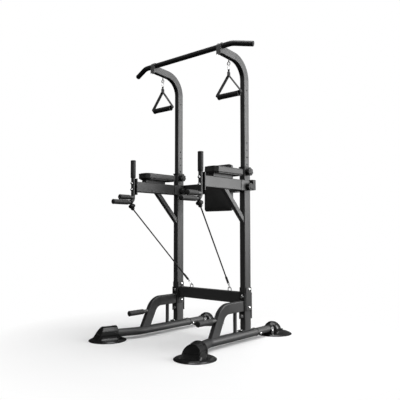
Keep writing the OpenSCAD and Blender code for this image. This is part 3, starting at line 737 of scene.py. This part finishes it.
def shoe(name, foot, outward, stations, node):
    """Rubber shoe lofted outward from the rail; a station is (distance, half width, top) in mm."""
    ahead = Vector(outward).normalized()
    across = ahead.cross(Vector((0, 0, 1)))
    rings = []
    for along, half_w, top in stations:
        rings.append([
            foot + ahead * along * MM + across * u + Vector((0, 0, v))
            for u, v in shoe_section(half_w * MM, top * MM)
        ])
    points, faces = skin(rings)
    piece = mesh_piece(name, points, faces, "foot_rubber", "base_frame", sharp=50)
    smooth = piece.modifiers.new("soft", "BEVEL")
    smooth.width = 1.4 * MM
    smooth.segments = 2
    smooth.limit_method = "ANGLE"
    smooth.angle_limit = math.radians(40)
    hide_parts(node)


def flare(start, end, top, floor, half_w, toe_w, steps=9):
    """Stations of a concave fall from the crown to the disc."""
    result = []
    for k in range(1, steps + 1):
        t = k / steps
        fall = (1 - t) ** 1.9
        result.append((start + (end - start) * t, half_w + (toe_w - half_w) * t * t,
                       floor + (top - floor) * fall))
    return result


SKIRT_SPREAD = 24 * MM
SKIRT_FOOT_Z = 9 * MM
SKIRT_CORNER = 16 * MM
SKIRT_STEPS = 9


def skirt(name, foot, outward, near, far, half_w, top):
    """Concave flare that carries a shoe's walls out on to its disc."""
    ahead = Vector(outward).normalized()
    across = ahead.cross(Vector((0, 0, 1)))
    rings = []
    for k in range(SKIRT_STEPS + 1):
        t = k / SKIRT_STEPS
        grow = SKIRT_SPREAD * t ** 2.4
        height = top + (SKIRT_FOOT_Z - top) * (1 - (1 - t) ** 1.6)
        start, end, side = near - grow, far + grow, half_w + grow
        plan = [
            foot + ahead * a + across * b
            for a, b in ((start, side), (end, side), (end, -side), (start, -side))
        ]
        ring = filleted(plan, SKIRT_CORNER + grow * 0.9, 8, closed=True)
        rings.append([p + Vector((0, 0, height)) for p in ring])
    points, faces = skin(rings)
    mesh_piece(name, points, faces, "foot_rubber", "base_frame", sharp=60)


# Stations of the rear shoe before its flare: a neck round the rail, a swell and a raised rib.
REAR_NECK = [(-77, 31, 64), (-76, 32, 65.5), (-60, 32.5, 65.8), (-50, 34, 67)]
REAR_SWELL = [(-44, 42, 73), (-38, 48, 77.5), (-30, 50, 79), (-22, 50, 79)]
REAR_RIB = [(-21, 51.8, 81), (-17, 51.8, 81)]
REAR_CROWN = [(-16, 50, 79), (-6, 50, 79), (2, 50, 77.5), (8, 50, 74)]


def shoes():
    """Rear shoes lofted afresh, and a skirt round each of the four."""
    rear = REAR_NECK + REAR_SWELL + REAR_RIB + REAR_CROWN + flare(8, 84, 74, 13.5, 50, 44)
    for label, s in SIDES.items():
        rear_foot = Vector((s * HALF, REAR_FOOT_Y, 0))
        shoe(f"shoe_rear_rubber_{label}", rear_foot, (0, 1, 0), rear, "shoes_rear")
        skirt(f"shoe_rear_skirt_{label}", rear_foot, (0, 1, 0),
              near=-38 * MM, far=44 * MM, half_w=48.5 * MM, top=30 * MM)
        front_foot = Vector((s * (HALF + FRONT_FOOT_OUT), FRONT_FOOT_Y, 0))
        splayed = (s * math.sin(SPLAY), -math.cos(SPLAY), 0)
        skirt(f"shoe_front_skirt_{label}", front_foot, splayed,
              near=-52 * MM, far=58 * MM, half_w=49 * MM, top=42 * MM)


# ---------------------------------------------------------------- handles and ropes

HANG_Y = middle(GRIP_LOW.y, GRIP_HIGH.y)
GRIP_Z = middle(GRIP_LOW.z, GRIP_HIGH.z)
HOOK_WIRE_R = 2 * MM
STRAP_TOP = node_box("carabiner_right")[0].z + HOOK_WIRE_R
STRAP_THICK = 3.0 * MM
STRAP_WIDE = 24 * MM
STRAP_NARROW = 7 * MM
STRAP_LEG_OUT = 99 * MM
STRAP_EYE_R = 5.1 * MM
STRAP_PLY = 1.6 * MM
STRAP_NECK = 34 * MM
WEBBING_STEP = 2.5 * MM


def handle_strap(label, side):
    """Webbing loop: through the grip, up both legs, sewn into a tab and a narrow eye."""
    top = Vector((side * HALF, HANG_Y, STRAP_TOP))

    def at(x, down):
        return top + Vector((x, 0, -down))

    eye = []
    for k in range(15):
        a = math.radians(-60 + 300 * k / 14)
        eye.append(at(STRAP_EYE_R * math.cos(a), -STRAP_EYE_R * math.sin(a)))
    grip_down = STRAP_TOP - GRIP_Z
    legs = [at(-STRAP_PLY, STRAP_NECK), at(-STRAP_LEG_OUT, grip_down),
            at(STRAP_LEG_OUT, grip_down), at(STRAP_PLY, STRAP_NECK)]
    path = [at(STRAP_PLY, 8 * MM)] + eye + [at(-STRAP_PLY, 8 * MM)]
    path += [at(-STRAP_PLY, 20 * MM)] + filleted(legs, 7 * MM, 7) + [at(STRAP_PLY, 20 * MM)]
    path = resample(path, WEBBING_STEP, closed=True)[:-1]
    outlines = []
    for point in path:
        folded = (point.z - (STRAP_TOP - 16 * MM)) / (10 * MM)
        share = min(max(folded, 0.0), 1.0)
        outlines.append(band(STRAP_WIDE + (STRAP_NARROW - STRAP_WIDE) * share, STRAP_THICK))
    strap = sweep(f"handle_webbing_{label}", path, outlines, "webbing", f"{label}_strap",
                  Vector((0, 1, 0)), closed=True, sharp=60)
    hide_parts(f"handle_strap_{label}")
    handle_thread(label, top)


def handle_thread(label, top):
    """Four short stitches near each edge of the sewn tab, on both its faces."""
    face = 3.2 * MM
    runs = []
    for edge in (-1, 1):
        for down in (17, 21, 25, 29):
            for x in (-face, face):
                runs.append([top + Vector((x, edge * reach * MM, -down * MM))
                             for reach in (6.5, 3.5)])
    wire(f"handle_thread_{label}", runs, 0.4 * MM, "webbing", f"{label}_strap", look=THREAD)


def handle_grip(label, side):
    """Turned foam tube, ribbed between two moulded flanges."""
    length = GRIP_HIGH.x - GRIP_LOW.x
    radius, bore, flange = 17 * MM, 12.8 * MM, 17.9 * MM
    profile = [(0.6 * MM, bore), (0, bore + 1 * MM), (0, radius), (0.8 * MM, flange),
               (4 * MM, flange), (5.2 * MM, radius), (6 * MM, radius - 0.8 * MM)]
    tail = [(length - along, r) for along, r in reversed(profile)]
    first, count, groove, rib = 8 * MM, 36, radius - 0.9 * MM, 0.35 * MM
    ribs = [
        (first + (length - 2 * first) * k / count, groove + rib * (k % 2))
        for k in range(count + 1)
    ]
    start = Vector((side * HALF - length / 2, HANG_Y, GRIP_Z))
    grip = revolve(f"handle_grip_tube_{label}", start, (1, 0, 0), profile + ribs + tail,
                   "grip_foam", f"{label}_grip", hollow=True)
    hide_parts(f"handle_grip_{label}")


# A rope runs from an eye on the beam to the elbow of a dip bar, where its hand loop sits.
ROPE_LOW = Vector((159, 0, 312)) * MM
DIP_BEND_R = 30 * MM
LOOP_ANGLE = math.radians(67.5)
LOOP_Y = DIP_Y - DIP_BEND_R * (1 - math.cos(LOOP_ANGLE))
LOOP_Z = DIP_LOW_Z + DIP_BEND_R * (1 - math.sin(LOOP_ANGLE))
LOOP_DOWN = Vector((0, math.cos(LOOP_ANGLE), -math.sin(LOOP_ANGLE)))
LOOP_DROP = 45 * MM
LOOP_INNER = 14.3 * MM
SLEEVE_AT = 38.8 * MM
SLEEVE_LENGTH = 52 * MM
ROPE_EYE_R = 6.5 * MM
ROPE_STEP = 1.6 * MM
ROPE_CORE_R = 3.5 * MM
ROPE_WEAVE = 0.42 * MM
ROPE_STRANDS = 5
ROPE_TWIST = 2 * math.pi / (16 * MM)


def resistance_rope(label, side):
    """Braided rope, its crimped sleeve and eye below, and the webbing hand loop above."""
    low = Vector((side * ROPE_LOW.x, ROPE_LOW.y, ROPE_LOW.z))
    elbow = Vector((side * HALF, LOOP_Y, LOOP_Z))
    high = elbow + LOOP_DOWN * LOOP_DROP
    ahead = (high - low).normalized()
    length = (high - low).length
    run = length - SLEEVE_AT - SLEEVE_LENGTH
    steps = int(run / ROPE_STEP)
    path, outlines = [], []
    for k in range(steps + 1):
        along = SLEEVE_AT + SLEEVE_LENGTH - 2 * MM + run * k / steps
        path.append(low + ahead * along)
        outlines.append(braid_outline(ROPE_TWIST * along))
    rope = sweep(f"rope_braid_{label}", path, outlines, "webbing", "base_frame",
                 Vector((0, 0, 1)), sharp=180)
    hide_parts("ropes")
    sleeve = [(0, 2.5), (0.6, 5.6), (1.8, 6.9), (6, 7), (7, 6.4), (8, 7), (14, 7), (15, 6.4),
              (16, 7), (44, 7), (48, 6.6), (51, 5.6), (52.4, 4.4)]
    revolve(f"rope_sleeve_{label}", low + ahead * (SLEEVE_AT + 0.4 * MM), ahead,
            [(a * MM, r * MM) for a, r in sleeve], "moulded_black", "base_frame", 32)
    centre = low + ahead * (SLEEVE_AT - 6 * MM)
    across = ahead.cross(Vector((0, 0, 1))).normalized()
    eye = [
        centre + (ahead * math.cos(a) + across * math.sin(a)) * ROPE_EYE_R for a in turns(40)
    ]
    wire(f"rope_eye_{label}", [eye], 1.5 * MM, "webbing", "base_frame", cyclic=True)
    hand_loop(label, elbow, high)


def braid_outline(twist):
    """Rope section where two sets of strands cross, one turned each way by twist."""
    ring = []
    for a in turns(24):
        lobe = ROPE_STRANDS / 2 * a
        weave = abs(math.sin(lobe + twist)) + abs(math.sin(lobe - twist))
        r = ROPE_CORE_R + ROPE_WEAVE * weave
        ring.append((r * math.cos(a), r * math.sin(a)))
    return ring


def hand_loop(label, elbow, high):
    """Soft webbing loop round the elbow, gathered into a knot where the rope begins."""
    across = Vector((1, 0, 0))
    path = []
    for k in range(25):
        a = math.radians(-52 + 284 * k / 24)
        path.append(elbow + (across * math.cos(a) - LOOP_DOWN * math.sin(a)) * LOOP_INNER)
    path += [elbow + across * x * MM + LOOP_DOWN * 31 * MM for x in (-4, 4)]
    path = resample(path, WEBBING_STEP, closed=True)[:-1]
    sweep(f"rope_hand_loop_{label}", path, [band(10 * MM, 1.8 * MM)] * len(path),
          "webbing", "base_frame", across.cross(LOOP_DOWN), closed=True, sharp=60)
    knot = [(0, 4), (1.5, 11), (4, 16.5), (8, 20.2), (13, 21.6), (18, 20.8), (22, 17.8),
            (25, 13.4), (27, 11), (29, 11.8), (33, 12), (36, 10.4), (39, 6.8), (42, 4.4)]
    revolve(f"rope_knot_{label}", elbow + LOOP_DOWN * 13.5 * MM, (high - elbow).normalized(),
            [(a * MM, r * MM) for a, r in knot], "moulded_black", "base_frame", 36)


# ---------------------------------------------------------------- welds and washers

def weld(name, corners, body, closed=True, radius=1.6 * MM):
    """Rippled weld bead along a joint line."""
    path = resample(filleted(corners, 4 * MM, 4, closed=closed), 1.5 * MM, closed)
    outlines = [circle(radius * (1 + 0.14 * math.sin(2.1 * k)), 8) for k in range(len(path))]
    shape = path[:-1] if closed else path
    sweep(name, shape, outlines[:len(shape)], "powder_coat", body, Vector((0.31, 0.22, 0.92)),
          closed=closed, sharp=180)


def rectangle(centre, a, b):
    return [centre + a + b, centre - a + b, centre - a - b, centre + a - b]


BEAM_LOW, BEAM_HIGH = node_box("cross_beam")
ARM_LOW, ARM_HIGH = node_box("dip_arms")
FLANGE_Y = node_box("arch_flanges")[0].y
BRACE_Y = node_box("arm_braces")[1].y
ARM_PLATE_Y = node_box("arm_end_plates")[1].y
BEAM_Z = middle(BEAM_LOW.z, BEAM_HIGH.z)
ARM_Z = middle(ARM_LOW.z, ARM_HIGH.z)
# Each square weld: its centre's x outwards, y and z, then its half sizes along x, y and z in mm.
SQUARE_WELDS = {
    "brace_low": (HALF, BRACE_Y, 757 * MM, 14, 0, 28),
    "brace_high": (HALF, -182 * MM, 902 * MM, 14, 22, 0),
    "arm_plate": (HALF, ARM_PLATE_Y, ARM_Z, 20, 0, 32.5),
    "beam": (BEAM_HIGH.x, 0, BEAM_Z, 0, 15, 35),
    "arch_flange": (HALF, FLANGE_Y, 210 * MM, 15, 0, 31),
}
POST_R = 11 * MM
POST_Y = -105 * MM
POST_FOOT_Z = 63 * MM


def welds():
    """Beads where braces, arms, beam, arches and posts meet the tubes and plates they stand on."""
    for label, s in SIDES.items():
        for joint, (out, y, z, half_x, half_y, half_z) in SQUARE_WELDS.items():
            arms = [Vector(arm) * MM for arm in ((half_x, 0, 0), (0, half_y, 0), (0, 0, half_z))]
            a, b = [arm for arm in arms if arm.length > 0]
            weld(f"weld_{joint}_{label}", rectangle(Vector((s * out, y, z)), a, b), "base_frame")
        foot = Vector((s * HALF, POST_Y, POST_FOOT_Z))
        post = [foot + Vector((math.cos(a), math.sin(a), 0)) * POST_R for a in turns(20)]
        weld(f"weld_post_{label}", post, "base_frame")


def washer(name, at, direction, radius, body):
    profile = [(-0.9, radius * 0.5), (-0.9, radius - 0.5), (-0.5, radius), (0.1, radius),
               (0.5, radius - 0.4), (0.5, radius * 0.5)]
    revolve(name, at, direction, [(a * MM, r * MM) for a, r in profile], "bolt_chrome", body,
            32, hollow=True)


# Washer radius and bolt heights are in mm, since the heights are part of the names.
WASHER_R = 11
FLANGE_BOLT_ZS = (151, 268)
BEAM_BOLT_ZS = (198, 306)
BEAM_BOLT_Y = 6 * MM
BEAM_PLATE_OUT = 25.5 * MM


def washers():
    """A washer under each bolt head at the arch flanges and the beam's outer plates."""
    for label, s in SIDES.items():
        for z in FLANGE_BOLT_ZS:
            at = Vector((s * HALF, FLANGE_Y - 0.5 * MM, z * MM))
            washer(f"washer_flange_{z}_{label}", at, (0, -1, 0), WASHER_R, "base_frame")
        for z in BEAM_BOLT_ZS:
            at = Vector((s * (HALF + BEAM_PLATE_OUT), BEAM_BOLT_Y, z * MM))
            washer(f"washer_beam_{z}_{label}", at, (s, 0, 0), WASHER_R, "base_frame")


# ---------------------------------------------------------------- studio

WHITE = (1.0, 1.0, 1.0, 1.0)
FLOOR_R = 9.0
FLOOR_GLOW = 0.07
FLOOR_FADE_FROM = 0.5
FLOOR_FADE_TO = 1.35
KEY_SIDE = (0.75, 0.45, 0.3)

# Each area light: its place and its aim, both from the uprights, its side in metres, its watts.
LIGHTS = {
    "key_right": ((3.2, 2.0, 1.7), (0, 0, 0.8), 2.8, 160),
    "top": ((0.6, 0.3, 4.2), (0, 0, 0), 4.0, 165),
    "fill_front": ((-1.2, -4.0, 2.4), (0, 0, 0.9), 2.2, 12),
}

CAMERA_PLACE = (2.166, -2.5608, 0.6536)
CAMERA_PITCH = math.radians(93.511)
CAMERA_TURN = math.radians(41.3263)
CAMERA_LENS = 46.735
CAMERA_SENSOR = 36.0


def area_light(name, at, aim, size, power):
    data = bpy.data.lights.new(name, "AREA")
    data.shape = "SQUARE"
    data.size = size
    data.energy = power
    lamp = bpy.data.objects.new(name, data)
    bpy.context.scene.collection.objects.link(lamp)
    lamp.location = Vector(at) + Vector((0, SET_BACK, 0))
    lamp.rotation_euler = (Vector(aim) - Vector(at)).to_track_quat("-Z", "Y").to_euler()


def studio_world():
    """White to the camera; to everything else dim, and a little brighter from the key's side."""
    world = bpy.data.worlds.new("studio")
    bpy.context.scene.world = world
    world.use_nodes = True
    tree = world.node_tree
    base = tree.nodes["Background"]
    where = add(tree, "ShaderNodeTexCoord").outputs["Generated"]
    toward = add(tree, "ShaderNodeVectorMath", {0: where, 1: KEY_SIDE},
                 operation="DOT_PRODUCT").outputs["Value"]
    level = add(tree, "ShaderNodeMapRange",
                {"Value": toward, "From Min": -0.1, "From Max": 0.9, "To Min": 0.03,
                 "To Max": 0.42}).outputs["Result"]
    base.inputs["Color"].default_value = WHITE
    tree.links.new(level, base.inputs["Strength"])
    white = add(tree, "ShaderNodeBackground", {"Color": WHITE, "Strength": 1.0})
    seen = add(tree, "ShaderNodeLightPath").outputs["Is Camera Ray"]
    mix = add(tree, "ShaderNodeMixShader", {0: seen, 1: base.outputs[0], 2: white.outputs[0]})
    tree.links.new(mix.outputs[0], tree.nodes["World Output"].inputs["Surface"])


def studio_floor():
    """Pale floor that fades to plain white away from the object and bounces little light."""
    bpy.ops.mesh.primitive_circle_add(vertices=96, radius=FLOOR_R, fill_type="NGON")
    floor = bpy.context.object
    floor.name = "studio_floor"
    floor.location.z = -0.5 * MM
    mat, tree, shader = new_material("floor_pale")
    where = add(tree, "ShaderNodeNewGeometry").outputs["Position"]
    far = add(tree, "ShaderNodeVectorMath", {0: where}, operation="LENGTH").outputs["Value"]
    fade = add(tree, "ShaderNodeMapRange",
               {"Value": far, "From Min": FLOOR_FADE_FROM, "From Max": FLOOR_FADE_TO})
    speckle = noise(tree, where, 3.0, 2.0)
    seen = add(tree, "ShaderNodeLightPath").outputs["Is Camera Ray"]
    pale = ramp_between(tree, speckle, rgb(0.80), rgb(0.82))
    tree.links.new(ramp_between(tree, seen, rgb(0.16), pale), shader.inputs["Base Color"])
    shader.inputs["Roughness"].default_value = 0.6
    shader.inputs["Specular IOR Level"].default_value = 0.2
    lift = add(tree, "ShaderNodeMath", {0: seen, 1: FLOOR_GLOW}, operation="MULTIPLY").outputs[0]
    shader.inputs["Emission Color"].default_value = WHITE
    tree.links.new(lift, shader.inputs["Emission Strength"])
    plain = add(tree, "ShaderNodeEmission", {"Color": WHITE, "Strength": seen})
    mix = add(tree, "ShaderNodeMixShader",
              {0: fade.outputs["Result"], 1: shader.outputs[0], 2: plain.outputs[0]})
    tree.links.new(mix.outputs[0], tree.nodes["Material Output"].inputs["Surface"])
    floor.data.materials.append(mat)


def studio_camera():
    data = bpy.data.cameras.new("photo_view")
    data.lens = CAMERA_LENS
    data.sensor_width = CAMERA_SENSOR
    camera = bpy.data.objects.new("photo_view", data)
    bpy.context.scene.collection.objects.link(camera)
    camera.location = Vector(CAMERA_PLACE) + Vector((0, SET_BACK, 0))
    camera.rotation_euler = Euler((CAMERA_PITCH, 0.0, CAMERA_TURN))
    bpy.context.scene.camera = camera


arm_pads()
backrest()
foam_grips()
pull_up_bar()
shoes()
for label, side in SIDES.items():
    handle_strap(label, side)
    handle_grip(label, side)
    resistance_rope(label, side)
welds()
washers()
studio_world()
studio_floor()
studio_camera()
for light, (at, aim, size, power) in LIGHTS.items():
    area_light(light, at, aim, size, power)
bpy.context.scene.view_settings.view_transform = "Standard"
